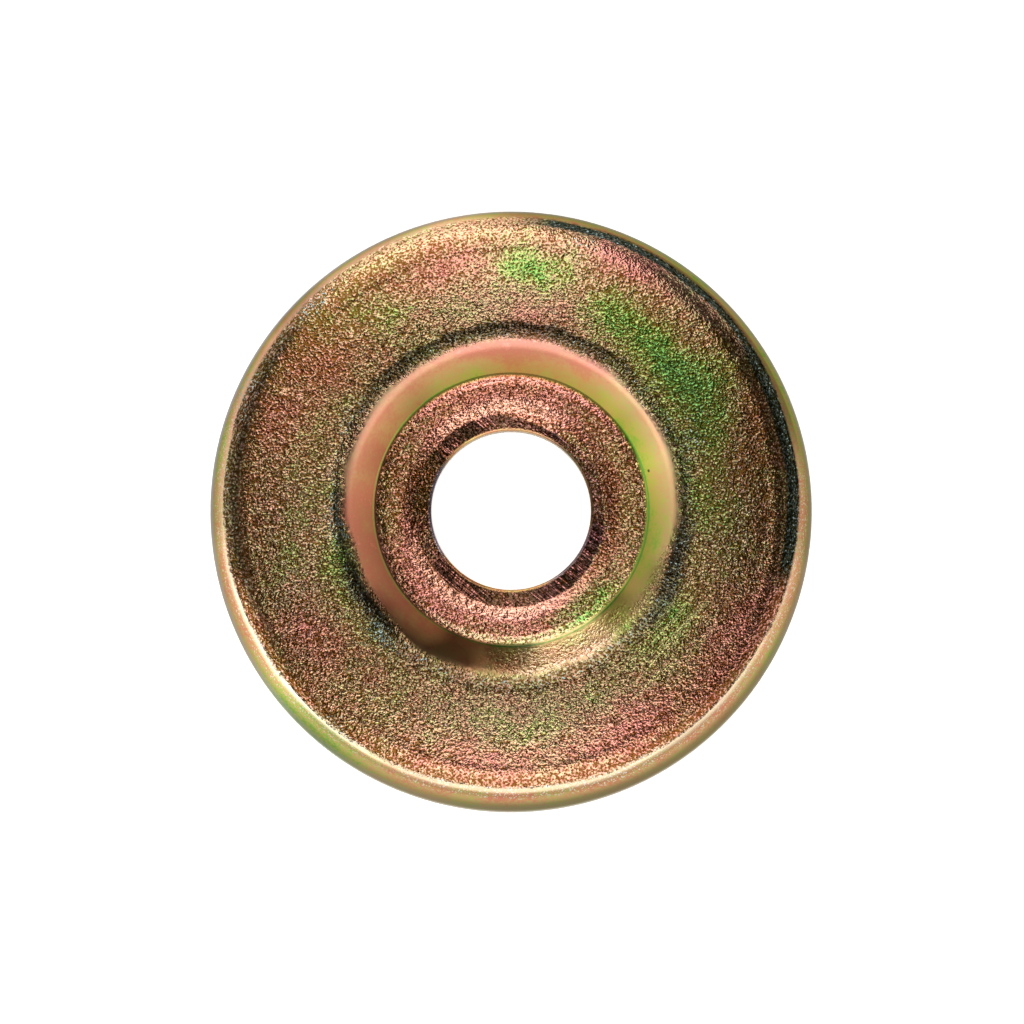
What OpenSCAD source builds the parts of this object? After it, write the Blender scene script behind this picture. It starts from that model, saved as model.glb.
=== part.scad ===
// Cup washer pressed from steel sheet, used to hold a rubber bush under a bolt or nut.
// The rim's lower edge stands on z = 0, the bore runs along Z, and +Z is the side of the nut.

/* [Sheet] */
// Thickness of the steel sheet
sheet_t = 2; // [1.6:0.1:2.2]
// Rounding of the corner that the shears leave sharpest
burr_edge_r = 0.15; // [0.05:0.05:0.3]

/* [Rim] */
// Outside diameter over the rim
outer_d = 40; // [37:0.5:48]
// Height from the rim's lower edge to the highest part of the ring
cup_h = 5.2; // [5:0.1:7]
// Inside radius where the ring turns down into the rim
rim_bend_r = 1; // [0.5:0.1:1.6]
// Rounding of the rim's lower edge on its outer side
rim_edge_r = 0.5; // [0.2:0.1:0.8]

/* [Ring] */
// Fall of the outer part of the ring towards the rim, in degrees from level
crown_slope = 7; // [4:1:8]
// Radius of the crown that blends the level part of the ring into the falling part
crown_round_r = 25; // [10:1:30]

/* [Recess] */
// Diameter of the seat, measured at the crease round it
seat_d = 18.1; // [16:0.1:19]
// Depth of the seat below the highest part of the ring
seat_depth = 2.2; // [1.8:0.1:2.8]
// Slope of the wall between the seat and the ring, in degrees from level
wall_slope = 43; // [38:1:50]
// Width of the band at the crease where the punch turned the seat up
lift_w = 0.7; // [0.5:0.1:0.9]
// Rise of that band from the seat to the crease
lift_h = 0.14; // [0.06:0.02:0.2]
// Radius that blends the seat into that band
lift_blend_r = 2; // [0.5:0.1:2.5]
// Inside radius of the crease round the seat
crease_r = 0.1; // [0.05:0.05:0.2]
// Inside radius under the shoulder where the wall meets the ring
shoulder_bend_r = 0.3; // [0.1:0.1:0.6]

/* [Bore] */
// Bore diameter, which clears an M10 bolt
bore_d = 10.6; // [8.4:0.1:12.6]
// Share of the floor of the recess, from the bore outward, that the punch drew down
draw_share = 0.62; // [0.4:0.02:0.66]
// Drop of that drawn band from the seat to the mouth of the bore
draw_h = 0.38; // [0.1:0.02:0.44]
// Radius that blends the seat into the drawn band
draw_blend_r = 4; // [1:0.5:5]
// Rounding of the mouth of the bore
mouth_r = 0.2; // [0.1:0.05:0.4]

/* [Hidden] */
// Sides of a full turn
$fn = 96;
// Largest gap allowed between an arc and its chords
chord_error = 0.01;
// Fewest chords in an arc
chords_min = 3;

outer_r = outer_d / 2;
bore_r = bore_d / 2;
seat_r = seat_d / 2;
rim_inner_r = outer_r - sheet_t;

// Width of the drawn band
draw_w = draw_share * (seat_r - lift_w - bore_r);

// Levels of the two faces of the seat, of the crease and of the ring's lower face
seat_z = cup_h - seat_depth;
boss_z = seat_z - sheet_t;
crease_z = seat_z + lift_h;
ring_under_z = cup_h - sheet_t;

// Corners of the sloping wall: its upper side at the ring, and its lower side at the boss and ring
wall_shift = sheet_t * tan(wall_slope / 2);
shoulder_r = seat_r + (cup_h - crease_z) / tan(wall_slope);
under_shoulder_r = shoulder_r + wall_shift;
boss_r = under_shoulder_r - seat_depth / tan(wall_slope);

// The ring lies between the roundings of the shoulder and the rim, and it begins to fall midway.
// Its corners are where the fall begins and where it meets the rim, above and below.
ring_from_r = shoulder_r + (shoulder_bend_r + sheet_t) * tan(wall_slope / 2);
ring_to_r = outer_r - (rim_bend_r + sheet_t) * tan((90 - crown_slope) / 2);
crown_r = (ring_from_r + ring_to_r) / 2;
crown_under_r = crown_r - sheet_t * tan(crown_slope / 2);
rim_top_z = cup_h - (outer_r - crown_r) * tan(crown_slope);
rim_under_z = ring_under_z - (rim_inner_r - crown_under_r) * tan(crown_slope);

// The section's corners, up the bore, out over the upper side and back along the underside.
// Each one is its radius from the axis, its height and the radius that rounds it.
section = [
    [bore_r, boss_z, burr_edge_r],
    [bore_r, seat_z - draw_h, mouth_r],
    [bore_r + draw_w, seat_z, draw_blend_r],
    [seat_r - lift_w, seat_z, lift_blend_r],
    [seat_r, crease_z, crease_r],
    [shoulder_r, cup_h, shoulder_bend_r + sheet_t],
    [crown_r, cup_h, crown_round_r],
    [outer_r, rim_top_z, rim_bend_r + sheet_t],
    [outer_r, 0, rim_edge_r],
    [rim_inner_r, 0, burr_edge_r],
    [rim_inner_r, rim_under_z, rim_bend_r],
    [crown_under_r, ring_under_z, crown_round_r - sheet_t],
    [under_shoulder_r, ring_under_z, shoulder_bend_r],
    [boss_r, boss_z, crease_r + sheet_t]
];

// First two numbers of a corner, its place in the section
function place(corner) = [corner[0], corner[1]];

// Unit vector from one point to another
function towards(a, b) = (b - a) / norm(b - a);

// Chords that keep an arc of a radius and a turn within the chord error
function chords(r, turn) = max(chords_min, ceil(turn / (2 * acos(1 - chord_error / r))));

// Points of the arc that rounds the corner at p, coming from a and going on to b
function rounding(a, p, b, r) =
    let (
        back = towards(p, a),
        ahead = towards(p, b),
        opening = acos(back * ahead),
        middle = p + towards([0, 0], back + ahead) * r / sin(opening / 2),
        start = p + back * r / tan(opening / 2) - middle,
        turn = 180 - opening,
        side = sign(back[0] * ahead[1] - back[1] * ahead[0]),
        steps = chords(r, turn)
    )
    [for (i = [0 : steps]) let (w = side * turn * i / steps)
        middle + [start[0] * cos(w) + start[1] * sin(w), start[1] * cos(w) - start[0] * sin(w)]];

// Outline of the section with every corner rounded
function outline(corners) =
    let (n = len(corners))
    [for (i = [0 : n - 1], point = rounding(
        place(corners[(i + n - 1) % n]), place(corners[i]), place(corners[(i + 1) % n]), corners[i][2]))
        point];

module washer() {
    color("goldenrod")
    rotate_extrude()
        polygon(outline(section));
}

washer();
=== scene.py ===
import math

import bpy
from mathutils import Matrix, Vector, noise


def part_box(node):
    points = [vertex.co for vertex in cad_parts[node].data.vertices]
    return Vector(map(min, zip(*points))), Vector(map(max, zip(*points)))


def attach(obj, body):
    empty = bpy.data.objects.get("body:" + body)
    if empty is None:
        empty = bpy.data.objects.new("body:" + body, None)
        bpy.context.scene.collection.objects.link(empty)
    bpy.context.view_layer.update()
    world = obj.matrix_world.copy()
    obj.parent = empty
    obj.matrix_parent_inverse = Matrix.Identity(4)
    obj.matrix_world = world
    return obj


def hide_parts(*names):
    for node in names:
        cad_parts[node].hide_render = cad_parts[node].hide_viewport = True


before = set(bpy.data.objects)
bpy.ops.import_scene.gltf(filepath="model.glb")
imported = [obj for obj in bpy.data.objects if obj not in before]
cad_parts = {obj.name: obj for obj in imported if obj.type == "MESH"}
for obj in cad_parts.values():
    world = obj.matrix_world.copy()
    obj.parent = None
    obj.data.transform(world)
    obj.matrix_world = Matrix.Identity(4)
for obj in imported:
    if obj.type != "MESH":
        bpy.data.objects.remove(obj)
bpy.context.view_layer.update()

# The frame is in metres, and this is one millimetre in it.
MM = 0.001
LOW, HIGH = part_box("washer")

# Section of the washer, as the solid has it
OUTER_R = (HIGH[0] - LOW[0]) / 2
CUP_H = HIGH[2] - LOW[2]
SHEET_T = 2.0 * MM
BURR_EDGE_R = 0.15 * MM
RIM_BEND_R = 1.0 * MM
RIM_EDGE_R = 0.5 * MM
CROWN_SLOPE = math.radians(7)
CROWN_ROUND_R = 25 * MM
SEAT_R = 9.05 * MM
SEAT_DEPTH = 2.2 * MM
WALL_SLOPE = math.radians(43)
LIFT_W = 0.7 * MM
LIFT_H = 0.14 * MM
LIFT_BLEND_R = 2.0 * MM
CREASE_R = 0.1 * MM
SHOULDER_BEND_R = 0.3 * MM
BORE_R = 5.3 * MM
DRAW_SHARE = 0.62
DRAW_H = 0.38 * MM
DRAW_BLEND_R = 4.0 * MM
MOUTH_R = 0.2 * MM

DRAW_W = DRAW_SHARE * (SEAT_R - LIFT_W - BORE_R)
SEAT_Z = CUP_H - SEAT_DEPTH
BOSS_Z = SEAT_Z - SHEET_T
CREASE_Z = SEAT_Z + LIFT_H
RING_UNDER_Z = CUP_H - SHEET_T
RIM_INNER_R = OUTER_R - SHEET_T
SHOULDER_R = SEAT_R + (CUP_H - CREASE_Z) / math.tan(WALL_SLOPE)
UNDER_SHOULDER_R = SHOULDER_R + SHEET_T * math.tan(WALL_SLOPE / 2)
BOSS_R = UNDER_SHOULDER_R - SEAT_DEPTH / math.tan(WALL_SLOPE)
SHOULDER_TURN_R = SHOULDER_BEND_R + SHEET_T
RIM_TURN_R = RIM_BEND_R + SHEET_T
RING_FROM_R = SHOULDER_R + SHOULDER_TURN_R * math.tan(WALL_SLOPE / 2)
RING_TO_R = OUTER_R - RIM_TURN_R * math.tan((math.pi / 2 - CROWN_SLOPE) / 2)
CROWN_R = (RING_FROM_R + RING_TO_R) / 2
CROWN_UNDER_R = CROWN_R - SHEET_T * math.tan(CROWN_SLOPE / 2)
RIM_TOP_Z = CUP_H - (OUTER_R - CROWN_R) * math.tan(CROWN_SLOPE)
RIM_UNDER_Z = RING_UNDER_Z - (RIM_INNER_R - CROWN_UNDER_R) * math.tan(CROWN_SLOPE)

# Density of the mesh
TURN_STEPS = 544
STEP_UPPER = 0.2 * MM
STEP_UNDER = 0.8 * MM
STEP_MOUTH = 0.06 * MM
STEP_WALL = 0.1 * MM
ARC_STEPS_MIN = 3
UPPER_CORNERS = range(1, 9)
MOUTH_CORNER, CREASE_CORNER = 1, 4


def section_corners():
    """Corners of the section, each with its radius, height and rounding: up the bore, out, and back below."""
    return [
        (BORE_R, BOSS_Z, BURR_EDGE_R),
        (BORE_R, SEAT_Z - DRAW_H, MOUTH_R),
        (BORE_R + DRAW_W, SEAT_Z, DRAW_BLEND_R),
        (SEAT_R - LIFT_W, SEAT_Z, LIFT_BLEND_R),
        (SEAT_R, CREASE_Z, CREASE_R),
        (SHOULDER_R, CUP_H, SHOULDER_TURN_R),
        (CROWN_R, CUP_H, CROWN_ROUND_R),
        (OUTER_R, RIM_TOP_Z, RIM_TURN_R),
        (OUTER_R, 0.0, RIM_EDGE_R),
        (RIM_INNER_R, 0.0, BURR_EDGE_R),
        (RIM_INNER_R, RIM_UNDER_Z, RIM_BEND_R),
        (CROWN_UNDER_R, RING_UNDER_Z, CROWN_ROUND_R - SHEET_T),
        (UNDER_SHOULDER_R, RING_UNDER_Z, SHOULDER_BEND_R),
        (BOSS_R, BOSS_Z, CREASE_R + SHEET_T),
    ]


def rounding(before, corner, after, radius, step):
    """Points of the arc that rounds one corner."""
    p = Vector(corner)
    back = (Vector(before) - p).normalized()
    ahead = (Vector(after) - p).normalized()
    opening = back.angle(ahead)
    middle = p + (back + ahead).normalized() * radius / math.sin(opening / 2)
    start = p + back * radius / math.tan(opening / 2) - middle
    turn = math.pi - opening
    side = 1 if back.x * ahead.y - back.y * ahead.x < 0 else -1
    steps = max(ARC_STEPS_MIN, math.ceil(turn * radius / step))
    points = []
    for i in range(steps + 1):
        w = side * turn * i / steps
        points.append(middle + Vector((
            start.x * math.cos(w) - start.y * math.sin(w),
            start.x * math.sin(w) + start.y * math.cos(w))))
    return points


def section_points():
    """Outline of the section, long stretches divided, and whether each point is on the upper side."""
    corners = section_corners()
    count = len(corners)
    bends = []
    for i, (r, z, radius) in enumerate(corners):
        before, after = corners[i - 1], corners[(i + 1) % count]
        step = STEP_UPPER if i in UPPER_CORNERS else STEP_UNDER
        step = {MOUTH_CORNER: STEP_MOUTH}.get(i, step)
        bends.append(rounding(before[:2], (r, z), after[:2], radius, step))
    points = []
    for i, bend in enumerate(bends):
        upper = i in UPPER_CORNERS
        points += [(p, upper) for p in bend]
        start, end = bend[-1], bends[(i + 1) % count][0]
        upper = upper and i + 1 in UPPER_CORNERS
        step = STEP_UPPER if upper else STEP_UNDER
        step = {MOUTH_CORNER: STEP_MOUTH, CREASE_CORNER: STEP_WALL}.get(i, step)
        steps = max(1, round((end - start).length / step))
        points += [(start.lerp(end, k / steps), upper) for k in range(1, steps)]
    return points


def smooth(low, high, value):
    """0 below low, 1 above high and an easy curve between."""
    t = min(1.0, max(0.0, (value - low) / (high - low)))
    return t * t * (3 - 2 * t)


def band(value, begins, full, still_full, ends):
    """0 outside a band and 1 in its middle."""
    return smooth(begins, full, value) * (1 - smooth(still_full, ends, value))


def blot(x, y, place, size, stretch, lean, level=1.0):
    """Strength of one soft patch, in millimetres. Stretch lengthens it along the lean, in degrees from +X."""
    a = math.radians(lean)
    dx, dy = x - place[0], y - place[1]
    along = (dx * math.cos(a) + dy * math.sin(a)) / (size * stretch)
    across = (dy * math.cos(a) - dx * math.sin(a)) / size
    return level * math.exp(-along * along - across * across)


def blots(x, y, patches):
    """Sum of some patches at a point."""
    return sum(blot(x, y, *patch) for patch in patches)


def arc(turn, middle, half, fade, level=1.0):
    """Strength of an arc in one direction: its level along it and 0 beyond it, in degrees."""
    off = abs((turn - middle + 180) % 360 - 180)
    return level * (1 - smooth(half - fade, half, off))


def total(turn, arcs):
    """Sum of some arcs in one direction."""
    return sum(arc(turn, *one) for one in arcs)


def strongest(turn, arcs):
    """Strongest of some arcs in one direction."""
    return max(arc(turn, *one) for one in arcs)


def swing(a, middle, depth, at):
    """Level that is higher by the depth towards a direction and lower by it on the other side."""
    return middle + depth * math.cos(a - math.radians(at))


# The finish and some painted light are given as marks, each a strength over the surface. Their places, radii
# and heights are in millimetres, and directions are in degrees from +X. An arc is its middle, half its length,
# how long it fades at each end and its level. A patch is its place, size, stretch, lean and level. A band of
# radii is where it begins, is full, still is full and ends. Painted shade darkens burnished metal and makes
# more of the grain dark pits; where it is negative it is a painted highlight.
NAMES = ("grain", "drawn", "painted_dark", "painted_highlight", "edge", "painted_reflection", "painted_glints", "scored", "film", "fleck", "painted_shade", "sharp",
         "blue", "soft")
# Radii of the crease and of the bore, in millimetres
CREASE = SEAT_R / MM
MOUTH = BORE_R / MM

# Level of the film where nothing else is said, and the grain of the underside
FILM = 0.5
UNDER_GRAIN = 0.6
# Uneven edge of the bands: its depth, and the circle on which its noise is read
WOBBLE = 0.1
WOBBLE_CIRCLE_R = 6
WOBBLE_CIRCLE_Z = 1.7

# Patches of the ring, in its plating and of painted shade. The film is thinner where it turned green (negative)
# and thicker where it turned pink. Painted shade turns to painted highlight where negative.
PATCHES = {
    "film": [
        ((0.9, 16.0), 1.2, 2.0, -12, -0.28), ((10.0, 10.0), 1.7, 1.9, -48, -0.38),
        ((6.4, 12.8), 1.2, 1.5, -25, -0.22), ((-8.7, 12.6), 1.8, 1.4, 30, -0.12),
        ((1.0, -15.0), 2.0, 2.2, 0, -0.07), ((4.5, -12.3), 1.5, 1.6, 20, -0.04),
        ((13.2, 7.6), 1.8, 1.6, -60, -0.18), ((-15.2, -4.0), 1.6, 1.4, 80, -0.08),
        ((13.2, 1.5), 2.2, 2.2, 85, -0.20), ((10.4, -7.6), 1.2, 1.7, 50, -0.26),
        ((10.2, 6.2), 1.6, 1.6, -60, -0.14), ((-11.6, -3.2), 1.4, 1.5, 85, -0.18),
        ((-14.6, 2.0), 1.8, 1.8, 85, -0.08), ((-12.8, -6.0), 1.6, 1.6, -60, -0.10),
        ((-9.0, -8.4), 1.3, 1.8, -45, -0.12), ((8.2, 15.9), 1.2, 2.6, -28, 0.26),
        ((-3.0, 16.8), 1.4, 2.4, 10, 0.18), ((-3.0, -16.6), 1.6, 3.0, -8, 0.20),
        ((8.5, -14.6), 1.8, 2.6, 28, 0.26), ((15.2, -7.8), 1.8, 2.2, 62, 0.26),
        ((-15.8, 5.2), 2.0, 1.6, 75, 0.18), ((-13.4, -7.8), 2.2, 1.8, -55, 0.18),
        ((2.0, 11.8), 1.6, 1.8, 0, 0.12), ((15.8, 5.0), 1.4, 2.4, 75, 0.10),
        ((-7.0, 14.4), 1.8, 1.8, 30, 0.10), ((-12.0, 9.0), 1.8, 1.8, 50, 0.12),
    ],
    "fleck": [
        ((-11.3, -0.8), 1.2, 2.2, 90, 0.8), ((-10.6, 6.0), 1.0, 1.6, 60, 0.6),
        ((11.8, 4.3), 1.2, 1.7, 70, 0.6), ((-13.0, 13.6), 0.9, 2.2, 45, 0.7),
        ((9.5, 8.0), 0.9, 1.6, 45, 0.4), ((-8.6, -8.4), 1.0, 1.6, -45, 0.8),
        ((-17.5, 8.0), 0.8, 2.5, 65, 0.6), ((-11.8, -14.2), 0.8, 1.6, -50, 0.6),
        ((5.0, 17.6), 0.8, 2.4, -18, 0.4),
    ],
    # Patches of painted shade, and of painted highlight where negative
    "painted_shade": [
        ((14.0, 5.0), 3.0, 2.0, -62, 0.3), ((15.5, -1.5), 2.6, 1.8, 88, 0.2),
        ((-15.5, 0.5), 2.4, 1.6, 88, 0.1), ((0.5, 13.0), 1.4, 2.2, 0, -0.5),
        ((-11.0, 12.5), 2.6, 2.0, 48, 0.6), ((-7.0, 16.0), 1.8, 2.0, 20, 0.4),
        ((7.8, 13.6), 2.2, 2.0, -30, 0.5), ((0.5, -14.0), 1.8, 3.4, 0, -0.3),
        ((13.2, 0.5), 1.6, 2.2, 88, 0.5), ((12.2, 5.0), 1.6, 1.8, -65, 0.35),
        ((15.6, 3.4), 1.8, 2.2, -78, 0.3), ((7.5, -13.2), 2.4, 2.0, 30, -0.5),
        ((15.6, -8.2), 2.0, 2.0, 60, -0.6), ((-14.6, -8.6), 2.0, 2.0, -60, -0.35),
    ],
}
# Straight score marks in the grain
SCORED = ((10.2, -9.4), 1.7, 1.9, 48)
# Painted shade of the ring towards the +X and -X sides, where little lamp light falls, and a slight painted
# highlight towards the +Y and -Y sides, and how sharply it changes
SHADE_X = 0.95
SHADE_Y = -0.15
SHADE_POWER = 6
# More painted shade on the outermost part of the ring, but not along these arcs
OUTER_SHADE = 0.3
OUTER_SHADE_BAND = (16.8, 17.6, 18.1, 18.5)
NOT_SHADED_ARCS = [(350, 40, 20), (62, 34, 20)]
# Painted highlights: arcs of the ring with less painted shade, and the radii where they begin and are full
PALE_ARCS = [((112, 24, 16, 0.6), (18.4, 18.8)), ((60, 24, 14, 0.5), (16.5, 17.6))]
# The strongest painted highlight, which ends short of the burnished rim
PALEST_ARC = (58, 22, 12, 1.2)
PALEST_R = (17.6, 18.1)
PALEST_PAST = (-0.5, -0.3)
# More blue in the middle of the ring
BLUE_ARCS = [(12, 40, 25, 0.3), (190, 30, 20, 0.12)]
BLUE_BAND = (12.2, 13.2, 14, 19)

# The grain ends and the burnished rim begins at this radius, further out on the +Y side. Distances past that
# boundary are called past.
BURNISH_R = 19.0
BURNISH_SHIFT = 0.4
BURNISH_FADE = 0.08
# Painted shade: dark arcs along the boundary, each with the band past it that they fill, and the flecks in them
PAINTED_DARK_ARCS = [
    ((10, 34, 14, 1.08), (-0.95, -0.65, 0.0, 0.2)),
    ((56, 38, 14, 1.06), (-0.6, -0.4, -0.02, 0.24)),
    ((168, 38, 14, 0.8), (-1.3, -0.75, -0.04, 0.1)),
]
DARK_FLECK = 0.3
DARK_FLECK_ARC = (165, 50, 14, 0.1)
# Painted shade: darker band just short of the boundary on the -Y side, as its painted shade, film and dark arcs
LOW_ARC = (268, 88, 15)
LOW_BAND = (-0.62, -0.45, -0.12, -0.02)
LOW_SHADE = 0.9
LOW_FILM = 0.04
LOW_DARK_ARCS = [(212, 26, 14, 0.4), (335, 26, 14, 0.6)]
# Arcs of painted shade on the rim itself, and one on its inner part alone
RIM_ARCS = [
    (40, 60, 14, 0.55), (122, 20, 14, 0.3), (137, 16, 14, 0.55), (165, 30, 14, 0.42), (188, 30, 14, 0.2),
    (278, 62, 14, 0.4), (340, 32, 14, 0.35),
]
RIM_INNER_ARC = (42, 38, 16, 0.42)
RIM_INNER_R_FADE = (19.45, 19.65)
# Film of the rim, thinner on its outer part and along greener arcs
RIM_FILM = 0.58
RIM_FILM_OUT = 0.12
RIM_FILM_R = (19.3, 19.8)
RIM_FILM_WOBBLE = 0.8
RIM_GREEN_ARCS = [(226, 18, 14, 0.22), (45, 45, 30, 0.12), (165, 20, 14, 0.08)]
# Red line between a dark arc and the rim: how far past the boundary it lies, its fade and its film
RED_PAST = 0.17
RED_FADE = (0.048, 0.12)
RED_ARCS = [(48, 45, 14, 0.35), (145, 36, 14)]
RED_FILM = 0.78
# Painted highlight: cream line where the burnished rim begins, all round, stronger along these arcs and
# hardly any along the last
RIM_HIGHLIGHT = 0.3
RIM_HIGHLIGHT_PAST = (0.168, 0.42)
RIM_HIGHLIGHT_ARCS = [(215, 36, 20, 0.7), (285, 50, 20, 0.56)]
NOT_HIGHLIGHT_ARC = (45, 60, 14, 0.9)
# Painted glints: white specks on the rim, along arcs on the -Y side
GLINT_PAST = (0.55, 0.8)
GLINT_ARCS = [(275, 35, 14), (200, 50, 14, 0.6), (335, 40, 14, 0.6)]
# Painted shade: olive edge beyond that line, darkest towards -Y, which hardly goes on down the rim's side
EDGE_R_FROM = (19.3, 19.75)
EDGE_SWING = (0.5, 0.5, -86)
NOT_EDGE_ARC = (228, 45, 25, 0.35)
SIDE_Z = (1.6, 2.9)
SIDE_EDGE = 0.3
# Painted reflection of the pale floor: lavender on the last of the rim, above its side
REFLECTION_R_FROM = (19.7, 19.86)
REFLECTION_LEVEL = 0.1
REFLECTION_ARC = (10, 60, 30, 0.25)
REFLECTION_LEFT = 0.65
REFLECTION_SWING = (0.5, -0.5, -34.4)
REFLECTION_POWER = 1.5

# Burnished wall of the recess: where it begins and where it ends, further in along some arcs, further out
# towards +Y and -Y, and how much the uneven edge counts there
WALL_FROM_R = (CREASE - 0.12, CREASE - 0.04)
WALL_TO_R = 11.2
WALL_FADE = 0.3
WALL_SHIFT = 0.06
WALL_WOBBLE = 2
WALL_SHORT_ARCS = [(208, 28, 14, 0.4), (340, 20, 14, 0.3), (152, 26, 14, -0.2)]
# Film of the wall at the crease and at the shoulder, as a swing and arcs: yellow-green at the crease and salmon
# at the shoulder, more so on the -X side
WALL_FILM_IN = (0.52, -0.21, 14.9)
WALL_FILM_IN_ARCS = [
    (75, 32, 20, 0.08), (118, 26, 16, -0.14), (190, 30, 20, 0.05), (272, 16, 12, -0.18), (316, 12, 10, -0.02)]
WALL_FILM_OUT = (0.64, -0.17, -29.8)
WALL_FILM_OUT_ARCS = [
    (75, 32, 20, 0.1), (150, 30, 20, -0.12), (232, 24, 16, -0.1), (293, 18, 12, 0.07), (316, 12, 10, -0.1)]
# Thinner film on the last of the wall
WALL_LAST = 0.12
WALL_LAST_R = (10.9, 11.3)
# Painted shade of the wall at the crease and at the shoulder
WALL_SHADE_IN_ARCS = [
    (85, 62, 35, 0.4), (258, 23, 12, 0.9), (316, 12, 9, 0.7), (145, 30, 20, 0.4), (32, 16, 12, 0.3),
    (272, 14, 10, 0.9)]
WALL_SHADE_OUT_ARCS = [
    (85, 62, 35, 0.1), (258, 23, 12, 0.4), (234, 30, 16, 0.95), (316, 12, 9, 0.45), (332, 13, 9, 0.65),
    (32, 16, 12, 0.2), (272, 14, 10, 0.2)]
# Less blue at the crease and more at the shoulder, where this swing is high
WALL_BLUE_IN = -0.4
WALL_BLUE_RISE = 0.65
WALL_BLUE_SWING = (0.5, 0.5, 57.3)
# Rough stretch of the wall: its arc, its grain, how far from the crease that is full, and its painted
# highlight's arc
ROUGH_ARC = (290, 36, 24)
ROUGH_GRAIN = 0.5
ROUGH_W = 0.8
ROUGH_HIGHLIGHT_ARC = (290, 26, 14, 0.25)
# Rough outer part beside it
ROUGH_OUT_ARC = (325, 28, 14, 0.4)
ROUGH_OUT_R = (9.9, 10.9)
# Painted highlight on the outer part of the wall on the +Y side
BRIGHT_ARC = (95, 90, 30, 0.14)
BRIGHT_R = (10.5, 10.9)
# Painted shade in a dark line along the crease, and a green line beside it, also a painted highlight: their
# fades, and where and how strong they are
LINE_FADE = (0.02, 0.07)
LINE_ARC = (130, 125, 30, 0.9)
GREEN_AT = 0.08
GREEN_FADE = (0.02, 0.08)
GREEN_FILM = 0.45
NOT_GREEN_ARC = (75, 55, 25)
GREEN_ARC = (180, 60, 30, 0.3)

# Painted shade: dark grain just outside the shoulder: where it ends, wider but sharper on the +Y side, its near
# black and its painted shade
SHOULDER_DARK_W = 0.6
SHOULDER_DARK_R = 13.0
SHOULDER_DARK_WOBBLE = 4
SHOULDER_TOP_ARC = (95, 62, 30)
SHOULDER_TOP_SHIFT = 0.3
SHOULDER_PAINTED_DARK = 0.62
SHOULDER_DARK_ARCS = [(95, 62, 30, 0.26), (175, 30, 20, -0.55), (335, 30, 20, 0.3), (212, 22, 14, 0.25)]
SHOULDER_SHADE = 0.6
SHOULDER_SHADE_ARCS = [(92, 62, 30, 0.4), (175, 30, 20, -0.5)]
SHOULDER_FLECK = 0.4
SHOULDER_FLECK_TOP = 0.15

# Band of the seat that the punch drew dark, its darkness partly painted shade: its radius, less along some
# arcs, its edge and the arcs where it is lighter
DRAWN_R_MM = 6.5
DRAWN_SHORT_ARCS = [(62, 52, 52, 0.62), (5, 34, 34, 0.4), (330, 20, 20, 0.15)]
DRAWN_EDGE = (-0.05, 0.03)
DRAWN_LIGHTER_ARCS = [(180, 45, 30, 0.75), (22, 38, 20, 0.47), (90, 25, 16, 0.14), (270, 22, 14, 0.16)]
# Ragged edge of that band: frequency and depth of its noises
DRAWN_RAGGED = ((2.2, 0.14), (5, 0.1))
# Where light falls on the seat
LIT_ARCS = [(100, 60, 40), (248, 74, 40)]
# Smoother pink ring round the drawn band: its edges, its film and how much thicker that is where lit, a
# painted highlight
PINK_IN = (6.4, 6.5)
PINK_OUT = (7.1, 7.6)
PINK_WOBBLE = 2
PINK_FILM = 0.08
PINK_LIT_FILM = 0.27
PINK_FILM_ARC = (226, 30, 18, 0.12)
# Film of the rest of the seat
SEAT_FILM = 0.58
SEAT_FILM_PATCHES = [
    ((1.5, 7.2), 1.6, 2.6, -8, 0.22), ((-5.6, -5.0), 1.8, 2.2, -45, 0.22), ((-0.5, -7.4), 1.0, 1.6, 0, 0.12),
    ((5.6, -6.0), 1.2, 2.2, 42, -0.26), ((-8.0, -0.5), 1.2, 2.0, 90, -0.10),
    ((7.6, 1.5), 1.4, 1.8, 90, -0.06), ((-3.4, 6.6), 1.4, 2.0, 30, 0.12),
]
# Hem of the seat, beside the crease: its inner edge, and its film, and its painted highlight as less painted
# shade and as cream
HEM_R = (CREASE - 0.65, CREASE - 0.5)
HEM_FILM_ARCS = [(268, 50, 14, -0.12), (85, 60, 14, 0.16)]
HEM_PALE_ARCS = [(268, 50, 14, 0.7), (85, 60, 14, 0.8)]
HEM_HIGHLIGHT_ARC = (268, 45, 20, 0.06)
# Painted shade of the seat, and how much less it is where lit, there and in the pink ring
SEAT_SHADE = 0.8
SEAT_SHADE_LIT = 0.9
PINK_SHADE_LIT = 0.5
SEAT_SHADE_PATCH = ((-5.9, 1.6), 1.1, 1.8, 75, 0.4)
SEAT_SHADE_MORE = 0.25
SEAT_PALE_ARC = (335, 24, 14, 0.5)
PINK_SHADE_ARCS = [(5, 34, 20, 0.5), (210, 25, 14, 0.55), (288, 42, 20, -1.3)]
# Blue in the seat, less in the lit pink ring and on the +Y side, and less or more in the drawn band
SEAT_BLUE = 0.97
PINK_LIT_BLUE = 0.16
SEAT_BLUE_ARC = (100, 40, 20, 0.08)
DRAWN_BLUE_ARCS = [(200, 100, 30, -0.14), (15, 50, 30, 0.3)]
# Painted highlight, bright crescents and grain
PINK_HIGHLIGHT = 0.1
SEAT_SHARP = 0.5
PINK_SHARP = 0.7
SEAT_GRAIN = 1.25
PINK_SMOOTH = 0.25
PINK_LIT_SMOOTH = 0.1
DRAWN_SMOOTH_ARC = (255, 85, 14, 0.5)
# Smooth lip round the mouth of the bore: its edge, and its painted reflection and painted highlight, the first
# of them above the bore
LIP_R = (MOUTH + 0.14, MOUTH + 0.2)
LIP_Z = (2.0, 2.4)
LIP_REFLECTION_ARCS = [(180, 42, 14), (322, 30, 14, 0.7)]
LIP_HIGHLIGHT_ARC = (85, 62, 30, 0.2)

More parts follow.
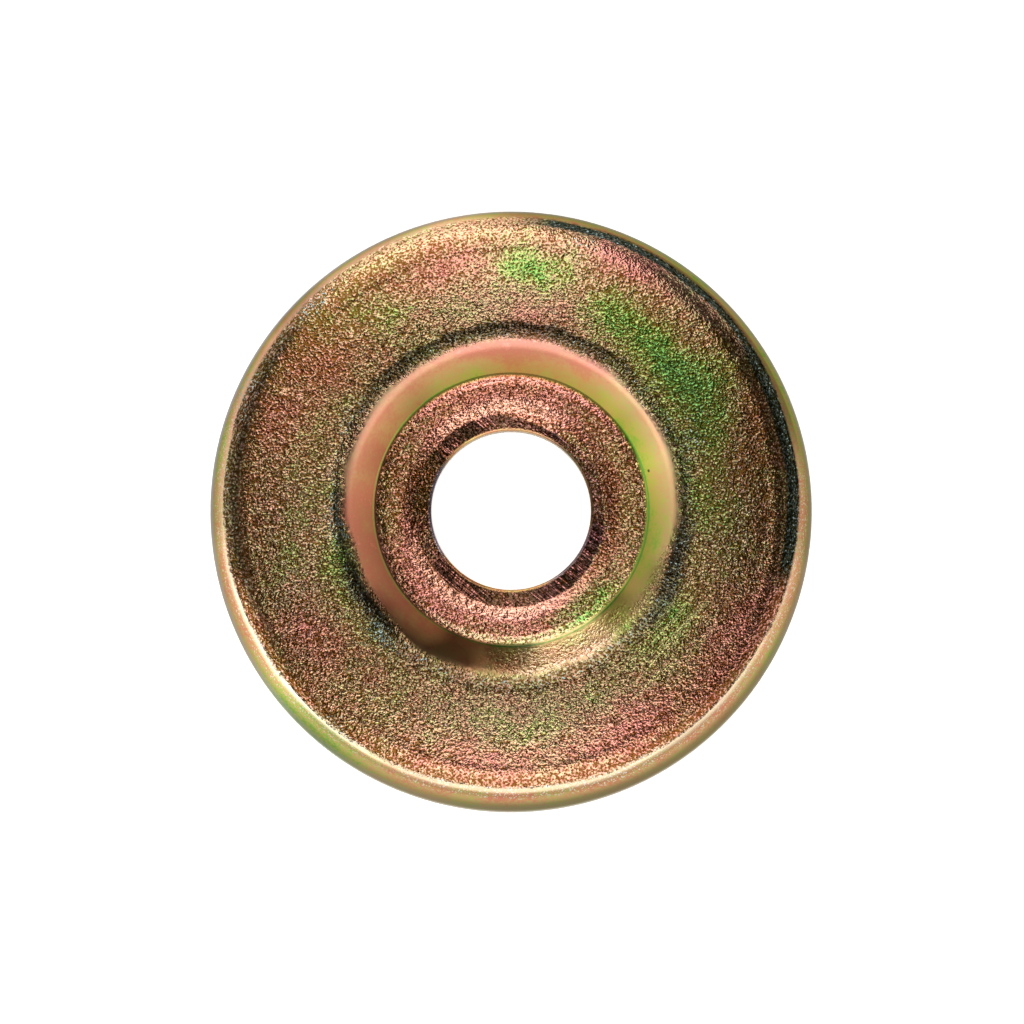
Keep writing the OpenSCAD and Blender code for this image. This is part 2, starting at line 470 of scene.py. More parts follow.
# Small nick across the drawn band, and its depth
NICK = ((4.76, 3.52), 0.07, 2.2, 20)
NICK_DEPTH = 0.1 * MM
# Length and depth of the pressing's own waves
WAVES = ((4.5 * MM, 0.018 * MM), (1.6 * MM, 0.006 * MM))


class Spot:
    """One point of the upper side, with where it lies among the bands of the finish."""

    def __init__(self, x, y, z):
        self.x, self.y, self.z = x, y, z
        self.r = math.hypot(x, y)
        self.a = math.atan2(y, x)
        self.turn = math.degrees(self.a % math.tau)
        cos, sin = math.cos(self.a), math.sin(self.a)
        on_circle = Vector((WOBBLE_CIRCLE_R * cos, WOBBLE_CIRCLE_R * sin, WOBBLE_CIRCLE_Z))
        self.wobble = WOBBLE * noise.noise(on_circle)
        self.past = self.r - (BURNISH_R + BURNISH_SHIFT * sin + self.wobble)
        self.on_rim = smooth(-BURNISH_FADE, BURNISH_FADE, self.past)
        wall_end = WALL_TO_R + WALL_SHIFT * sin ** 2 - WALL_WOBBLE * self.wobble
        wall_end -= total(self.turn, WALL_SHORT_ARCS)
        self.on_wall = band(self.r, *WALL_FROM_R, wall_end - WALL_FADE, wall_end + WALL_FADE)


def ring_marks(spot, marks):
    """Grain of the ring, its patches of tint and of painted shade, and the painted dark arcs along the rim."""
    r, turn, past = spot.r, spot.turn, spot.past
    # Patches of tint, of flecks and of painted shade
    for name, patches in PATCHES.items():
        marks[name] += blots(spot.x, spot.y, patches)
    marks["grain"] = (1 - spot.on_rim) * (1 - spot.on_wall)
    # Painted shade: dark arcs along the boundary
    marks["painted_dark"] = max(arc(turn, *where) * band(past, *ends) for where, ends in PAINTED_DARK_ARCS)
    marks["fleck"] = max(marks["fleck"], (DARK_FLECK + arc(turn, *DARK_FLECK_ARC)) * marks["painted_dark"])
    # Painted shade towards the +X and -X sides and a slight painted highlight towards the +Y and -Y sides
    marks["painted_shade"] += SHADE_X + (SHADE_Y - SHADE_X) * math.sin(spot.a) ** SHADE_POWER
    # More painted shade on the outermost part of the ring
    outermost = band(r, *OUTER_SHADE_BAND) * math.prod(1 - arc(turn, *one) for one in NOT_SHADED_ARCS)
    marks["painted_shade"] += OUTER_SHADE * outermost
    # Painted highlights along some arcs
    marks["painted_shade"] -= sum(arc(turn, *where) * smooth(*radii, r) for where, radii in PALE_ARCS)
    marks["painted_shade"] -= arc(turn, *PALEST_ARC) * smooth(*PALEST_R, r) * (1 - smooth(*PALEST_PAST, past))
    # Painted shade: darker band just short of the boundary on the -Y side
    low = arc(turn, *LOW_ARC) * band(past, *LOW_BAND)
    marks["painted_shade"] += LOW_SHADE * low
    marks["film"] += LOW_FILM * low
    marks["painted_dark"] = max(marks["painted_dark"], low * strongest(turn, LOW_DARK_ARCS))
    marks["blue"] += (1 - spot.on_wall) * total(turn, BLUE_ARCS) * band(r, *BLUE_BAND)


def rim_marks(spot, marks):
    """Burnished rim: arcs of painted shade, a red line and a painted highlight line where it begins, painted
    glints, olive painted shade on the edge and a painted reflection.
    """
    r, turn, past, on_rim = spot.r, spot.turn, spot.past, spot.on_rim
    # Painted shade of the rim along some arcs
    shaded = strongest(turn, RIM_ARCS) + arc(turn, *RIM_INNER_ARC) * (1 - smooth(*RIM_INNER_R_FADE, r))
    marks["painted_shade"] += (shaded - marks["painted_shade"]) * on_rim
    film = RIM_FILM + RIM_FILM_WOBBLE * spot.wobble
    film -= RIM_FILM_OUT * smooth(*RIM_FILM_R, r) + total(turn, RIM_GREEN_ARCS)
    marks["film"] += (film - marks["film"]) * on_rim
    red = (1 - smooth(*RED_FADE, abs(past - RED_PAST))) * strongest(turn, RED_ARCS)
    marks["film"] += (RED_FILM - marks["film"]) * red
    # Painted highlight: cream line where the burnished rim begins
    marks["painted_highlight"] = on_rim * (1 - smooth(*RIM_HIGHLIGHT_PAST, past)) * (1 - marks["painted_dark"]) * (
        1 - arc(turn, *NOT_HIGHLIGHT_ARC)) * (RIM_HIGHLIGHT + strongest(turn, RIM_HIGHLIGHT_ARCS))
    # Painted glints: white specks on the rim
    marks["painted_glints"] = on_rim * (1 - smooth(*GLINT_PAST, past)) * strongest(turn, GLINT_ARCS)
    above_side = smooth(*SIDE_Z, spot.z)
    # Painted shade: olive on the rim's edge, darkest towards -Y
    marks["edge"] = smooth(*EDGE_R_FROM, r) * swing(spot.a, *EDGE_SWING) * (1 - arc(turn, *NOT_EDGE_ARC)) * (
        SIDE_EDGE + (1 - SIDE_EDGE) * above_side)
    # Painted reflection of the pale floor on the last of the rim
    marks["painted_reflection"] = smooth(*REFLECTION_R_FROM, r) * above_side * (
        REFLECTION_LEVEL + arc(turn, *REFLECTION_ARC) + REFLECTION_LEFT * swing(spot.a, *REFLECTION_SWING) ** REFLECTION_POWER)


def wall_marks(spot, marks):
    """Burnished wall of the recess, with its painted shade and highlights, a rough stretch, and the lines along
    the crease.
    """
    r, a, turn, on_wall = spot.r, spot.a, spot.turn, spot.on_wall
    outward = smooth(CREASE, WALL_TO_R, r)
    film_in = swing(a, *WALL_FILM_IN) + total(turn, WALL_FILM_IN_ARCS)
    film_out = swing(a, *WALL_FILM_OUT) + total(turn, WALL_FILM_OUT_ARCS)
    shade_at_crease, shade_at_shoulder = total(turn, WALL_SHADE_IN_ARCS), total(turn, WALL_SHADE_OUT_ARCS)
    marks["film"] += (film_in + (film_out - film_in) * outward - marks["film"]) * on_wall
    marks["film"] -= WALL_LAST * on_wall * smooth(*WALL_LAST_R, r)
    # Painted shade of the wall
    marks["painted_shade"] += (shade_at_crease + (shade_at_shoulder - shade_at_crease) * outward - marks["painted_shade"]) * on_wall
    marks["soft"] = on_wall
    marks["blue"] += on_wall * (WALL_BLUE_IN + WALL_BLUE_RISE * outward) * swing(a, *WALL_BLUE_SWING)
    rough = arc(turn, *ROUGH_ARC) * on_wall
    marks["grain"] = max(marks["grain"], ROUGH_GRAIN * rough * smooth(CREASE, CREASE + ROUGH_W, r),
                         arc(turn, *ROUGH_OUT_ARC) * on_wall * smooth(*ROUGH_OUT_R, r))
    # Painted highlights on the rough stretch and on the outer part of the wall
    marks["painted_highlight"] = max(marks["painted_highlight"], arc(turn, *ROUGH_HIGHLIGHT_ARC) * rough,
                          arc(turn, *BRIGHT_ARC) * on_wall * smooth(*BRIGHT_R, r))
    line = 1 - smooth(*LINE_FADE, abs(r - CREASE))
    green = 1 - smooth(*GREEN_FADE, abs(r - CREASE - GREEN_AT))
    marks["film"] -= GREEN_FILM * green * (1 - arc(turn, *NOT_GREEN_ARC))
    # Painted shade in the crease, and a painted highlight on the green line beside it
    marks["painted_shade"] += arc(turn, *LINE_ARC) * line - arc(turn, *GREEN_ARC) * green


def shoulder_marks(spot, marks):
    """Painted shade: dark grain just outside the shoulder."""
    r, turn = spot.r, spot.turn
    top = arc(turn, *SHOULDER_TOP_ARC)
    shift = SHOULDER_TOP_SHIFT * top
    outside = (1 - spot.on_wall) * smooth(WALL_TO_R - 2 * WALL_FADE, WALL_TO_R, r)
    outside *= 1 - smooth(WALL_TO_R + SHOULDER_DARK_W + shift, SHOULDER_DARK_R - shift,
                          r + SHOULDER_DARK_WOBBLE * spot.wobble)
    painted_shade = SHOULDER_SHADE + total(turn, SHOULDER_SHADE_ARCS)
    marks["painted_shade"] += (painted_shade - marks["painted_shade"]) * outside
    marks["painted_dark"] = max(marks["painted_dark"], (SHOULDER_PAINTED_DARK + total(turn, SHOULDER_DARK_ARCS)) * outside)
    fleck = max(marks["fleck"], (SHOULDER_FLECK - SHOULDER_FLECK_TOP * top) * outside)
    marks["fleck"] = fleck * (1 - spot.on_wall)


def seat_marks(spot, marks):
    """Seat in the recess: dark drawn band round the bore, partly painted shade, pink ring round that, painted
    shade and highlights, grain and the bore's lip.
    """
    x, y, r, turn = spot.x, spot.y, spot.r, spot.turn
    drawn_r = DRAWN_R_MM - total(turn, DRAWN_SHORT_ARCS)
    ragged = sum(depth * noise.noise(Vector((x, y, 0)) * often) for often, depth in DRAWN_RAGGED)
    drawn = 1 - smooth(drawn_r + DRAWN_EDGE[0], drawn_r + DRAWN_EDGE[1], r + ragged)
    drawn *= (1 - blot(x, y, *NICK)) * (1 - total(turn, DRAWN_LIGHTER_ARCS))
    ring = smooth(*PINK_IN, r) * (1 - smooth(*PINK_OUT, r + PINK_WOBBLE * spot.wobble))
    hem = smooth(*HEM_R, r)
    lit = strongest(turn, LIT_ARCS)
    lip = 1 - smooth(*LIP_R, r)
    marks["film"] = SEAT_FILM + hem * total(turn, HEM_FILM_ARCS) + blots(x, y, SEAT_FILM_PATCHES)
    # Thicker film where lit, a painted highlight
    marks["film"] += ring * (PINK_FILM + PINK_LIT_FILM * lit + arc(turn, *PINK_FILM_ARC))
    # Painted shade of the seat, less where lit
    marks["painted_shade"] = SEAT_SHADE - lit * (SEAT_SHADE_LIT + PINK_SHADE_LIT * ring) + blot(x, y, *SEAT_SHADE_PATCH)
    marks["painted_shade"] += (1 - ring) * (SEAT_SHADE_MORE - arc(turn, *SEAT_PALE_ARC))
    # Painted shade and highlight in the pink ring, and a painted highlight on the hem
    marks["painted_shade"] += ring * total(turn, PINK_SHADE_ARCS) - hem * strongest(turn, HEM_PALE_ARCS)
    marks["blue"] = SEAT_BLUE - PINK_LIT_BLUE * lit * ring + drawn * total(turn, DRAWN_BLUE_ARCS)
    marks["blue"] -= (1 - ring) * arc(turn, *SEAT_BLUE_ARC)
    marks["sharp"] = lit * (SEAT_SHARP + PINK_SHARP * ring) * (1 - hem)
    marks["grain"] = (1 - lip) * (
        SEAT_GRAIN - (PINK_SMOOTH + PINK_LIT_SMOOTH * lit) * ring - arc(turn, *DRAWN_SMOOTH_ARC) * drawn)
    marks["drawn"] = drawn * (1 - lip)
    # Painted highlights on the lip, in the lit pink ring and on the hem
    marks["painted_highlight"] = max(arc(turn, *LIP_HIGHLIGHT_ARC) * lip, PINK_HIGHLIGHT * lit * ring * (1 - drawn),
                          arc(turn, *HEM_HIGHLIGHT_ARC) * hem)
    # Painted reflection on the lip, above the bore
    marks["painted_reflection"] = lip * smooth(*LIP_Z, spot.z) * strongest(turn, LIP_REFLECTION_ARCS)


def surface_marks(x, y, z, upper):
    """Strength of each kind of finish and of painted light at a point, by name."""
    marks = dict.fromkeys(NAMES, 0.0) | {"film": FILM, "blue": 1.0}
    if not upper:
        return marks | {"grain": UNDER_GRAIN}
    spot = Spot(x, y, z)
    marks["scored"] = blot(x, y, *SCORED) * (1 - spot.on_wall)
    if spot.r <= WALL_FROM_R[0]:
        seat_marks(spot, marks)
    else:
        for add_marks in (ring_marks, rim_marks, wall_marks, shoulder_marks):
            add_marks(spot, marks)
    return marks


def swell(x, y, z):
    """Height of the waves that a press leaves in the sheet."""
    place = Vector((x, y, z))
    return sum(depth * noise.noise(place / length) for length, depth in WAVES)


def make_washer():
    """The washer's skin, turned about the bore, with the marks of its finish and of painted light."""
    section = section_points()
    rows = len(section)
    verts, marks = [], {name: [] for name in NAMES}
    for s in range(TURN_STEPS):
        a = math.tau * s / TURN_STEPS
        for p, upper in section:
            x, y, z = p.x * math.cos(a), p.x * math.sin(a), p.y
            for name, strength in surface_marks(x / MM, y / MM, z / MM, upper).items():
                marks[name].append(strength)
            if upper and RING_FROM_R < p.x < RING_TO_R:
                z += min(0.0, swell(x, y, z) - WAVES[0][1])
            if upper and p.x < DRAWN_R_MM * MM:
                z -= NICK_DEPTH * blot(x / MM, y / MM, *NICK)
            verts.append((x, y, z))
    faces = []
    for s in range(TURN_STEPS):
        here, there = s * rows, (s + 1) % TURN_STEPS * rows
        for k in range(rows):
            n = (k + 1) % rows
            faces.append((here + k, there + k, there + n, here + n))
    mesh = bpy.data.meshes.new("washer_skin")
    mesh.from_pydata(verts, [], faces)
    mesh.shade_smooth()
    for name in NAMES:
        mesh.attributes.new(name, "FLOAT", "POINT").data.foreach_set("value", marks[name])
    piece = bpy.data.objects.new("washer_skin", mesh)
    bpy.context.scene.collection.objects.link(piece)
    print("washer_skin", rows, "rows", len(faces) * 2, "triangles")
    return piece


class Nodes:
    """Short ways to add and join shader nodes."""

    def __init__(self, owner):
        owner.use_nodes = True
        self.tree = owner.node_tree

    def add(self, kind, inputs=(), **settings):
        made = self.tree.nodes.new("ShaderNode" + kind)
        for name, value in settings.items():
            setattr(made, name, value)
        for key, value in dict(inputs).items():
            if isinstance(value, bpy.types.NodeSocket):
                self.tree.links.new(value, made.inputs[key])
            else:
                made.inputs[key].default_value = value
        return made

    def maths(self, operation, a, b=0.0, clamp=False):
        return self.add("Math", {0: a, 1: b}, operation=operation, use_clamp=clamp).outputs[0]

    def plus(self, a, b):
        return self.maths("ADD", a, b)

    def times(self, a, b):
        return self.maths("MULTIPLY", a, b)

    def mark(self, name):
        return self.add("Attribute", attribute_name=name).outputs["Fac"]

    def mix(self, factor, a, b):
        made = self.add("Mix", data_type="RGBA", clamp_factor=True)
        for socket, value in ((made.inputs[0], factor), (made.inputs[6], a), (made.inputs[7], b)):
            if isinstance(value, bpy.types.NodeSocket):
                self.tree.links.new(value, socket)
            else:
                socket.default_value = value
        return made.outputs[2]

    def spread(self, value, low, high, to_low=0.0, to_high=1.0):
        return self.add("MapRange", {"Value": value, "From Min": low, "From Max": high,
                                     "To Min": to_low, "To Max": to_high},
                        interpolation_type="SMOOTHSTEP").outputs[0]

    def wave(self, base, texture, depth, clamp=False):
        """Base plus the swing of a texture about its mean."""
        return self.maths("ADD", base, self.times(self.maths("SUBTRACT", texture, 0.5), depth), clamp)

    def ramp(self, value, stops):
        made = self.add("ValToRGB", {"Fac": value})
        elements = made.color_ramp.elements
        while len(elements) < len(stops):
            elements.new(1.0)
        for element, (at, tint) in zip(elements, stops):
            element.position = at
            element.color = (*tint, 1)
        return made.outputs["Color"]

    def lines(self, place, lean, length, width):
        """Noise drawn out into straight lines: their lean, and their length and width in millimetres."""
        along = self.add("Mapping", {"Vector": place, "Rotation": (0, 0, lean), "Scale": (length, width, 1.0)},
                         vector_type="TEXTURE").outputs[0]
        return self.noise(along, *LINE_NOISE)

    def noise(self, place, scale, detail, roughness):
        return self.add("TexNoise", {"Vector": place, "Scale": scale, "Detail": detail,
                                     "Roughness": roughness}).outputs["Fac"]


# Tints that the film goes through as it thickens
TINTS = [
    (0.00, (0.15, 0.32, 0.09)), (0.12, (0.16, 0.38, 0.06)), (0.22, (0.24, 0.42, 0.07)),
    (0.34, (0.42, 0.42, 0.10)), (0.46, (0.50, 0.36, 0.14)), (0.58, (0.56, 0.30, 0.13)),
    (0.70, (0.56, 0.23, 0.12)), (0.80, (0.58, 0.20, 0.12)), (0.92, (0.74, 0.31, 0.19)),
]
# Near black, of the painted shade and of the dark dot on the wall
NEAR_BLACK = (0.035, 0.045, 0.027, 1)
BLUE_GREY = (0.28, 0.36, 0.25, 1)
# Olive of the painted shade on the rim's edge
EDGE_SHADE_OLIVE = (0.17, 0.15, 0.08, 1)
# Lavender of the painted reflection
REFLECTION_LAVENDER = (0.40, 0.40, 0.56, 1)
# Cream of the painted highlights
CREAM = (0.93, 0.77, 0.52, 1)
# White of the painted glints
GLINT_WHITE = (0.85, 0.82, 0.72, 1)
# Near black of the drawn band, partly painted shade
DRAWN_BROWN = (0.03, 0.016, 0.010, 1)
DRAWN_RED = (0.62, 0.23, 0.17, 1)
SCORE = (0.70, 0.62, 0.26, 1)
# What the pits and the tops of the grain do to the tint: painted shade in a pit, where light is coloured twice
# over, and painted glints on the tops
PIT = (0.28, 0.20, 0.09, 1)
TOP = (1.3, 1.35, 1.95, 1)
# Tint of what the metal reflects at a glancing angle, which shows on the rim's side, the second one in the
# painted reflection
OLIVE_GLANCE = (0.5, 0.48, 0.4, 1)
BLUE_GLANCE = (0.64, 0.61, 0.76, 1)
REFLECTION_TO_GLANCE = (0.5, 0.95)

# Noises of the plating: waves to a millimetre, detail and roughness
RAGGED_NOISE = (3.5, 2.0, 0.6)
BROAD_NOISE = (0.35, 2.0, 0.6)
CLOUD_NOISE = (1.2, 3.0, 0.65)
SPECK_NOISE = (4.5, 2.0, 0.6)
GRAIN_NOISE = (7.5, 1.0, 0.5)
FLECK_NOISE = (5.0, 2.0, 0.7)
BREAK_NOISE = (0.9, 2.0, 0.6)
LUMP_NOISE = (6.4, 1.0, 0.5)
FINE_NOISE = (12.0, 1.0, 0.5)
CRESCENT_NOISE = (3.4, 1.0, 0.5)
UNEVEN_NOISE = (1.7, 2.0, 0.5)
LINE_NOISE = (1.0, 2.0, 0.6)
# How ragged the grain's edge is, and how much the noises change the film, with the specks on smooth and on
# grained metal, and the painted shade's near black
EDGE_RAGGED = 9.0
BROAD_DEPTH = 0.4
CLOUD_DEPTH = 0.3
SPECK_DEPTHS = (0.8, 0.3)
GRAIN_DEPTH = 0.6
PAINTED_DARK_DEPTH = 1.5
# How much of its own colour a full mark shows
EDGE_SHOWS = 0.75
REFLECTION_SHOWS = 0.8
HIGHLIGHT_SHOWS = 0.85
GLINT_SHOWS = 0.7
DRAWN_SHOWS = 0.95
# Levels of the noises between which flecks and painted glints appear, and how far a full mark raises the flecks
FLECK_FADE = (0.68, 0.78)
FLECK_RISE = 0.3
GLINT_FADE = (0.58, 0.65)
# Scratches and score marks: lean, length and width in millimetres, the levels between which a line appears, and
# the levels between which a scratch breaks off and how much is left of it there
SCRATCH_LINES = (math.radians(-40), 3.0, 0.11)
SCRATCH_FADE = (0.52, 0.64)
SCRATCH_BREAKS = (0.34, 0.52, 0.3, 1.0)
SCORE_LINES = (math.radians(48), 5.0, 0.16)
SCORE_FADE = (0.56, 0.6)
# Dark dot on the wall: its place and where it fades, in millimetres
DOT_AT = (9.12, 2.54, 3.53)
DOT_FADE = (0.07, 0.13, 0.9, 0.0)
# The grain's height is of lumps and finer ones, and the pits are where it is low, more of it with the painted
# shade
LUMP_SHARE = 0.75
PIT_FADE = (0.38, 0.6)
PIT_RISE = 0.06
PIT_SPECK = 0.8
# How dark a full painted shade makes burnished metal
SHADE_DARKNESS = 0.8
# Heights of the relief in millimetres: the grain, its unevenness and the bright crescents
GRAIN_RELIEF = 0.048
UNEVEN_RELIEF = 0.05
CRESCENT_RELIEF = 0.075
# Roughness of smooth metal, how much more it is on the wall, and that of the grain where its mark is full
ROUGHNESS = 0.22
SOFT_ROUGHNESS = 0.14
GRAIN_ROUGHNESS = 0.1
GRAIN_FULL = 0.6


def plated_steel():
    """Yellow chromate over pressed steel: a film of many tints, a fine grain and burnished bands, with painted
    shade, highlights, glints and a reflection.
    """
    mat = bpy.data.materials.new("plated_steel")
    n = Nodes(mat)
    shader = n.tree.nodes["Principled BSDF"]
    coords = n.add("TexCoord").outputs["Object"]
    place = n.add("VectorMath", {0: coords, 3: 1 / MM}, operation="SCALE").outputs[0]
    painted_dark, drawn, painted_shade, soft = (n.mark(name) for name in ("painted_dark", "drawn", "painted_shade", "soft"))
    speck, grainy = (n.noise(place, *noises) for noises in (SPECK_NOISE, GRAIN_NOISE))

    # The grain's edge is ragged where its mark is between 0 and 1
    grain = n.mark("grain")
    edge = n.times(grain, n.maths("SUBTRACT", 1.0, grain, True))
    grain = n.wave(grain, n.noise(place, *RAGGED_NOISE), n.times(edge, EDGE_RAGGED))
    grain = n.maths("MAXIMUM", grain, 0.0)

    # Thickness of the film: the patches, broken up by noise of four sizes, the last from one grain to the next
    film = n.wave(n.mark("film"), n.noise(place, *BROAD_NOISE), BROAD_DEPTH)
    film = n.wave(film, n.noise(place, *CLOUD_NOISE), CLOUD_DEPTH)
    film = n.wave(film, speck, n.spread(n.plus(grain, soft), 0.0, 1.0, *SPECK_DEPTHS))
    film = n.wave(film, grainy, n.times(grain, GRAIN_DEPTH))
    colour = n.ramp(film, TINTS)

    # Marks on the film, each over the ones before it: near-black painted shade, flecks, the edge's painted
    # shade, a painted reflection, painted highlights and painted glints
    # Painted shade in near black, broken up by specks
    colour = n.mix(n.times(n.wave(painted_dark, speck, PAINTED_DARK_DEPTH, True), painted_dark), colour, NEAR_BLACK)
    flecks = n.plus(n.times(n.mark("fleck"), FLECK_RISE), n.noise(place, *FLECK_NOISE))
    colour = n.mix(n.spread(flecks, *FLECK_FADE), colour, BLUE_GREY)
    # Painted shade of the rim's edge in olive
    colour = n.mix(n.times(n.mark("edge"), EDGE_SHOWS), colour, EDGE_SHADE_OLIVE)
    # Painted reflection in lavender
    colour = n.mix(n.times(n.mark("painted_reflection"), REFLECTION_SHOWS), colour, REFLECTION_LAVENDER)
    # Painted highlights in cream
    colour = n.mix(n.times(n.mark("painted_highlight"), HIGHLIGHT_SHOWS), colour, CREAM)
    # Painted glints: white specks on the rim
    painted_glints = n.times(n.spread(grainy, *GLINT_FADE), n.mark("painted_glints"))
    colour = n.mix(n.times(painted_glints, GLINT_SHOWS), colour, GLINT_WHITE)

    # The drawn band is dark, partly painted shade, with straight scratches across it that all run one way
    scratch = n.spread(n.lines(place, *SCRATCH_LINES), *SCRATCH_FADE)
    scratch = n.times(scratch, n.spread(n.noise(place, *BREAK_NOISE), *SCRATCH_BREAKS))
    colour = n.mix(n.times(drawn, DRAWN_SHOWS), colour, n.mix(scratch, DRAWN_BROWN, DRAWN_RED))

    dot = n.add("VectorMath", {0: place, 1: DOT_AT}, operation="DISTANCE").outputs["Value"]
    colour = n.mix(n.spread(dot, *DOT_FADE), colour, NEAR_BLACK)

    # Grain: small round bumps a sixth of a millimetre apart, with painted shade in the pits between them and
    # painted glints on their tops
    height = n.plus(n.times(n.noise(place, *LUMP_NOISE), LUMP_SHARE),
                    n.times(n.noise(place, *FINE_NOISE), 1 - LUMP_SHARE))
    height_less_shade = n.maths("SUBTRACT", height, n.times(n.wave(painted_shade, speck, PIT_SPECK), PIT_RISE))
    pits = n.mix(n.spread(height_less_shade, *PIT_FADE), PIT, TOP)
    # Painted shade of burnished metal
    shaded = n.maths("SUBTRACT", 1.0, n.times(n.maths("ADD", painted_shade, 0.0, True), SHADE_DARKNESS))
    shade = n.mix(grain, shaded, pits)
    cast = n.add("CombineXYZ", {0: 1.0, 1: 1.0, 2: n.mark("blue")}).outputs[0]
    shade = n.add("VectorMath", {0: shade, 1: cast}, operation="MULTIPLY").outputs[0]
    colour = n.add("VectorMath", {0: colour, 1: shade}, operation="MULTIPLY").outputs[0]
    score = n.spread(n.lines(place, *SCORE_LINES), *SCORE_FADE)
    colour = n.mix(n.times(score, n.mark("scored")), colour, SCORE)

    crescents = n.times(n.noise(place, *CRESCENT_NOISE), n.times(n.mark("sharp"), CRESCENT_RELIEF))
    uneven = n.plus(n.times(n.noise(place, *UNEVEN_NOISE), UNEVEN_RELIEF), crescents)
    relief = n.times(n.plus(n.times(height, GRAIN_RELIEF), uneven), grain)
    bump = n.add("Bump", {"Height": relief, "Distance": MM, "Strength": 1.0}).outputs[0]
    burnished = n.plus(ROUGHNESS, n.times(soft, SOFT_ROUGHNESS))
    roughness = n.spread(grain, 0.0, GRAIN_FULL, burnished, GRAIN_ROUGHNESS)
    glance = n.mix(n.spread(n.mark("painted_reflection"), *REFLECTION_TO_GLANCE), OLIVE_GLANCE, BLUE_GLANCE)

    shader.inputs["Metallic"].default_value = 1.0
    for name, source in {"Base Color": colour, "Normal": bump, "Roughness": roughness,
                         "Specular Tint": glance}.items():
        n.tree.links.new(source, shader.inputs[name])
    return mat


FLOOR_W = 6.0
FLOOR_GREY = (0.8, 0.8, 0.8, 1)
FLOOR_ROUGHNESS = 0.8
WHITE = (1, 1, 1, 1)
# Light that the floor sends out where it is seen or reflected
FLOOR_GLOW = 0.68


def floor():
    """Pale floor far wider than the washer."""
    mesh = bpy.data.meshes.new("floor")
    corners = [(FLOOR_W / 2 * x, FLOOR_W / 2 * y, 0) for x, y in ((-1, -1), (1, -1), (1, 1), (-1, 1))]
    mesh.from_pydata(corners, [], [(0, 1, 2, 3)])
    piece = bpy.data.objects.new("floor", mesh)
    bpy.context.scene.collection.objects.link(piece)
    mat = bpy.data.materials.new("floor")
    n = Nodes(mat)
    shader = n.tree.nodes["Principled BSDF"]
    for name, value in {"Base Color": FLOOR_GREY, "Roughness": FLOOR_ROUGHNESS, "Specular IOR Level": 0.0,
                        "Emission Color": WHITE}.items():
        shader.inputs[name].default_value = value
    path = n.add("LightPath")
    seen = n.maths("MAXIMUM", path.outputs["Is Camera Ray"], path.outputs["Is Glossy Ray"])
    n.tree.links.new(n.times(seen, FLOOR_GLOW), shader.inputs["Emission Strength"])
    mesh.materials.append(mat)


LAMP_DISTANCE = 0.9
# Name, azimuth, elevation, width, height and radiance of each soft lamp
LAMPS = [
    ("key_low", -14, 29, 50, 22, 2.6), ("key_high", -12, 51, 46, 22, 1.8), ("key_top", -6, 71, 34, 18, 1.9),
    ("fill_middle", 180, 31, 60, 32, 1.8), ("fill_left", 232, 22, 44, 16, 2.6),
    ("fill_right", 130, 28, 40, 28, 1.3), ("fill_high", 180, 62, 40, 32, 2.4),
    ("back_left", -52, 30, 24, 36, 0.25), ("top", 0, 89, 14, 16, 0.2), ("side", 90, 30, 50, 30, 0.25),
    ("side_left", 262, 38, 44, 34, 0.4), ("key_horizon", -20, 12, 34, 14, 1.8),
]


def put(name, data, where, away):
    """Put a lamp or the camera somewhere, facing against a direction."""
    piece = bpy.data.objects.new(name, data)
    piece.location = where
    piece.rotation_euler = (-away).to_track_quat("-Z", "Y").to_euler()
    bpy.context.scene.collection.objects.link(piece)
    return piece


def softbox(name, azimuth, elevation, wide, tall, radiance):
    """A soft lamp facing the washer: azimuth 0 is the +Y side, 90 the +X side, and its size is in degrees."""
    a, e = math.radians(azimuth), math.radians(elevation)
    away = Vector((math.sin(a) * math.cos(e), math.cos(a) * math.cos(e), math.sin(e)))
    lamp = bpy.data.lights.new(name, "AREA")
    lamp.shape = "RECTANGLE"
    lamp.size = 2 * LAMP_DISTANCE * math.tan(math.radians(wide / 2))
    lamp.size_y = 2 * LAMP_DISTANCE * math.tan(math.radians(tall / 2))
    lamp.energy = radiance * math.pi * lamp.size * lamp.size_y
    put(name, lamp, away * LAMP_DISTANCE, away)


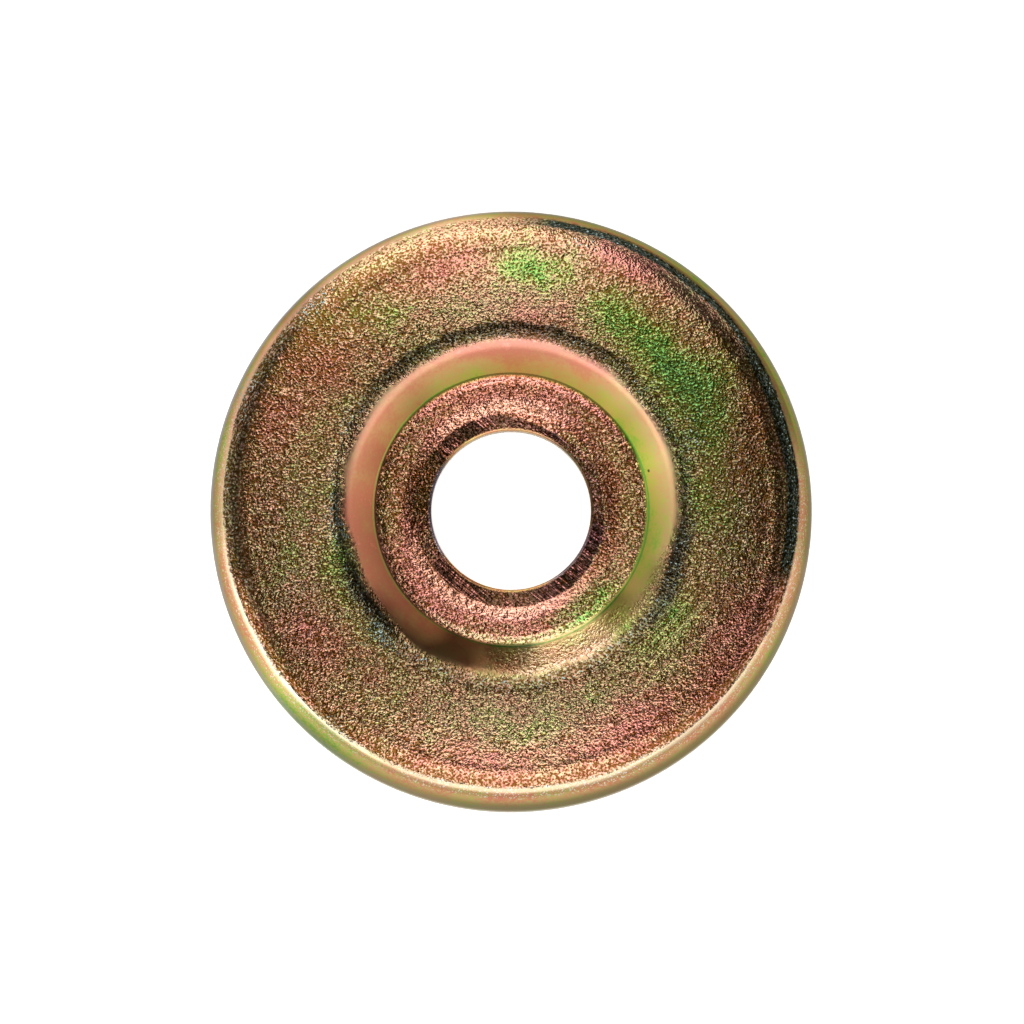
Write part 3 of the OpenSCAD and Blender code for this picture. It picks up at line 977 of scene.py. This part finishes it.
# Glow of the horizon, as levels between which it changes and what it changes from and to: by height, which
# counts as more towards +Y, near the -X side and near the +X side
HORIZON_FADE = (0.22, 0.5, 1.0, 0.0)
HEIGHT_MORE = (-0.15, 0.2, 0.0, 0.15)
LEFT_GLOW = (-0.97, -0.65, 2.2, 1.05)
RIGHT_GLOW = (0.65, 0.9, 0.0, 0.55)
# Dark gap in it: its direction, turned from +X, and its fade
GAP_AT = math.radians(70)
GAP_FADE = (0.89, 0.98, 1.0, 0.15)
# Light from everywhere
SKY = 0.07


def studio():
    """Soft lamps on the +Y and -Y sides, little light from the +X and -X sides, and a pale horizon."""
    for lamp in LAMPS:
        softbox(*lamp)
    world = bpy.data.worlds.new("studio")
    bpy.context.scene.world = world
    n = Nodes(world)
    direction = n.add("TexCoord").outputs["Generated"]
    axes = n.add("SeparateXYZ", {0: direction}).outputs
    gap = (math.cos(GAP_AT), math.sin(GAP_AT), 0)
    off_gap = n.add("VectorMath", {0: direction, 1: gap}, operation="DOT_PRODUCT").outputs["Value"]
    height = n.plus(axes["Z"], n.spread(axes["Y"], *HEIGHT_MORE))
    horizon = n.times(n.spread(height, *HORIZON_FADE), n.spread(off_gap, *GAP_FADE))
    sides = n.plus(n.spread(axes["X"], *LEFT_GLOW), n.spread(axes["X"], *RIGHT_GLOW))
    n.tree.links.new(n.plus(n.times(horizon, sides), SKY), n.tree.nodes["Background"].inputs["Color"])
    bpy.context.scene.view_settings.view_transform = "Standard"


# The camera looks almost straight down, from a little to the -Y side
ELEVATION = math.radians(85.5)
DISTANCE = 0.6
SENSOR = 36.0
CLIP_START = 0.01
# Point in the middle of the view, a little off the axis, as the washer stands in the photograph
AIM = (0.06 * MM, -0.13 * MM, CUP_H / 2)
# Width of the square view at the washer
VIEW_W = 68.0 * MM


def camera():
    """Camera of the photograph's view."""
    lens = bpy.data.cameras.new("camera")
    lens.sensor_width = SENSOR
    lens.lens = SENSOR * DISTANCE / VIEW_W
    lens.clip_start = CLIP_START
    away = Vector((0, -math.cos(ELEVATION), math.sin(ELEVATION)))
    bpy.context.scene.camera = put("camera", lens, Vector(AIM) + away * DISTANCE, away)


skin = make_washer()
skin.data.materials.append(plated_steel())
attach(skin, "root")
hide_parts("washer")
floor()
studio()
camera()
